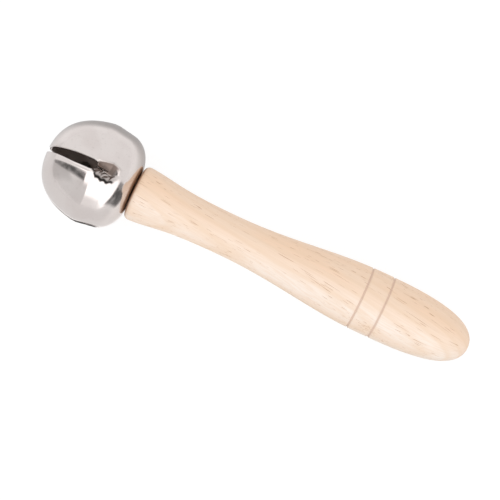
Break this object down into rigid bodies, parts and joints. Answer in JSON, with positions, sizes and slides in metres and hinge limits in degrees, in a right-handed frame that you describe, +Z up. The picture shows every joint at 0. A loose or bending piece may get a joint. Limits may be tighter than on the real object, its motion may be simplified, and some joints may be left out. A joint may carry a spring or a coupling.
{
  "type": "jingle stick",
  "caption": "Hand percussion stick: turned wooden handle with a slotted steel jingle bell screwed to its end and a loose pellet inside.",
  "frame": {"origin": "on the surface that the stick lies on, under the middle of its bounding box", "axes": "+X towards the handle's tail, with the bell at -X; +Z up, with one pair of the bell's slots facing straight up and down and the other pair facing the sides; the stick's own axis lies in the XZ plane and dips 3.4 degrees towards the tail, because the bell is larger than the handle's belly"},
  "size_m": [0.1674, 0.038, 0.038],
  "materials": {
    "turned_wood": "pale close-pored hardwood, sanded and thinly sealed",
    "nickel_plate": "bright nickel plate on pressed steel",
    "screw_steel": "zinc-plated",
    "washer_steel": "zinc-plated",
    "pellet_steel": "tumbled bare steel"
  },
  "bodies": {
    "stick": {"handle": "turned_wood", "bell_shell": "nickel_plate", "mounting_screw": "screw_steel", "screw_washer": "washer_steel"},
    "pellet": {"pellet": "pellet_steel"}
  },
  "joints": [
    {"name": "pellet_bounce", "type": "slide", "parent": "stick", "child": "pellet", "axis": [0.0598, 0, 0.9982], "range_m": [0, 0.026]}
  ]
}
